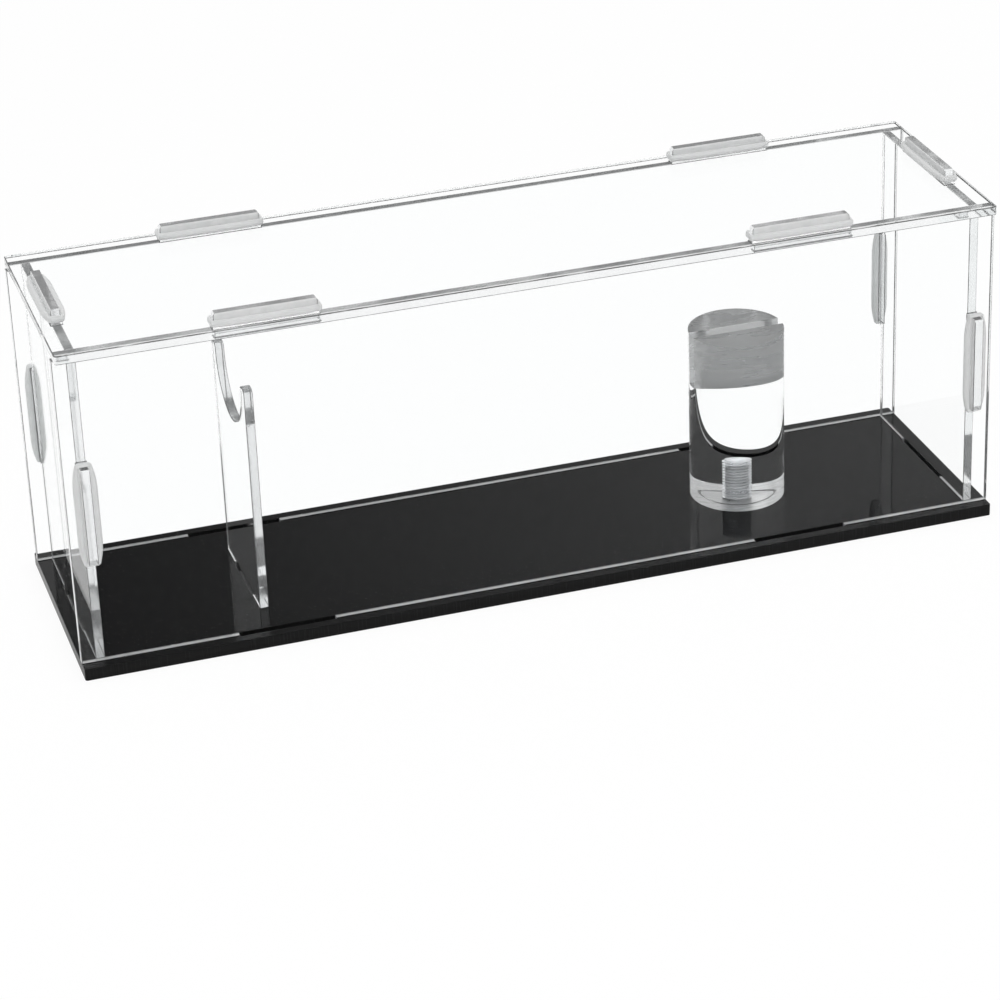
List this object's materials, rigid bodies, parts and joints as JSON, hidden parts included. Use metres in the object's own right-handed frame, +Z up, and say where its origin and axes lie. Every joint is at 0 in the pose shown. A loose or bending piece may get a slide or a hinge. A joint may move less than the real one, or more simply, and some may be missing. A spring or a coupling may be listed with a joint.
{
  "type": "knife display case",
  "caption": "Long clear tabletop case on a black base: slotted sheets held by rings on their tabs, with a notched handle rest and a slotted round riser inside.",
  "frame": {"origin": "under the middle of the base, on the surface that the case stands on", "axes": "+X along the case's length to the right, +Y to the back, +Z up"},
  "size_m": [0.3, 0.083, 0.1125],
  "materials": {
    "clear_acrylic": "polished clear, laser-cut edges lightly frosted",
    "black_acrylic": "polished gloss black",
    "silicone": "translucent satin",
    "zinc_plated_steel": "bright zinc plated"
  },
  "bodies": {
    "base": {"base_plate": "black_acrylic"},
    "walls": {"front_panel": "clear_acrylic", "back_panel": "clear_acrylic", "left_end_panel": "clear_acrylic", "right_end_panel": "clear_acrylic"},
    "lid": {"top_panel": "clear_acrylic"},
    "rest": {"handle_rest": "clear_acrylic"},
    "riser": {"blade_riser": "clear_acrylic"},
    "screw": {"riser_screw": "zinc_plated_steel"},
    "top_front_left": {"ring_top_front_left": "silicone"},
    "top_front_right": {"ring_top_front_right": "silicone"},
    "top_back_left": {"ring_top_back_left": "silicone"},
    "top_back_right": {"ring_top_back_right": "silicone"},
    "top_left": {"ring_top_left": "silicone"},
    "top_right": {"ring_top_right": "silicone"},
    "side_front_left": {"ring_side_front_left": "silicone"},
    "side_front_right": {"ring_side_front_right": "silicone"},
    "side_back_left": {"ring_side_back_left": "silicone"},
    "side_back_right": {"ring_side_back_right": "silicone"}
  },
  "joints": [
    {"name": "cover_lift", "type": "slide", "parent": "base", "child": "walls", "axis": [0, 0, 1], "range_m": [0, 0.12]},
    {"name": "lid_lift", "type": "slide", "parent": "walls", "child": "lid", "axis": [0, 0, 1], "range_m": [0, 0.02]},
    {"name": "rest_lift", "type": "slide", "parent": "base", "child": "rest", "axis": [0, 0, 1], "range_m": [0, 0.02]},
    {"name": "screw_turn", "type": "hinge", "parent": "base", "child": "screw", "pos_m": [0.077, 0, 0], "axis": [0, 0, -1], "range_deg": [0, 4896]},
    {"name": "riser_lift", "type": "slide", "parent": "base", "child": "riser", "axis": [0, 0, 1], "range_m": [0, 0.0136]},
    {"name": "top_front_left_pull", "type": "slide", "parent": "lid", "child": "top_front_left", "axis": [0, 0, 1], "range_m": [0, 0.008]},
    {"name": "top_front_right_pull", "type": "slide", "parent": "lid", "child": "top_front_right", "axis": [0, 0, 1], "range_m": [0, 0.008]},
    {"name": "top_back_left_pull", "type": "slide", "parent": "lid", "child": "top_back_left", "axis": [0, 0, 1], "range_m": [0, 0.008]},
    {"name": "top_back_right_pull", "type": "slide", "parent": "lid", "child": "top_back_right", "axis": [0, 0, 1], "range_m": [0, 0.008]},
    {"name": "top_left_pull", "type": "slide", "parent": "lid", "child": "top_left", "axis": [0, 0, 1], "range_m": [0, 0.008]},
    {"name": "top_right_pull", "type": "slide", "parent": "lid", "child": "top_right", "axis": [0, 0, 1], "range_m": [0, 0.008]},
    {"name": "side_front_left_pull", "type": "slide", "parent": "walls", "child": "side_front_left", "axis": [0, -1, 0], "range_m": [0, 0.008]},
    {"name": "side_front_right_pull", "type": "slide", "parent": "walls", "child": "side_front_right", "axis": [0, -1, 0], "range_m": [0, 0.008]},
    {"name": "side_back_left_pull", "type": "slide", "parent": "walls", "child": "side_back_left", "axis": [0, 1, 0], "range_m": [0, 0.008]},
    {"name": "side_back_right_pull", "type": "slide", "parent": "walls", "child": "side_back_right", "axis": [0, 1, 0], "range_m": [0, 0.008]}
  ],
  "couplings": [
    {"joint": "screw_turn", "follows": "riser_lift", "rad_per_m": 6283.2}
  ]
}
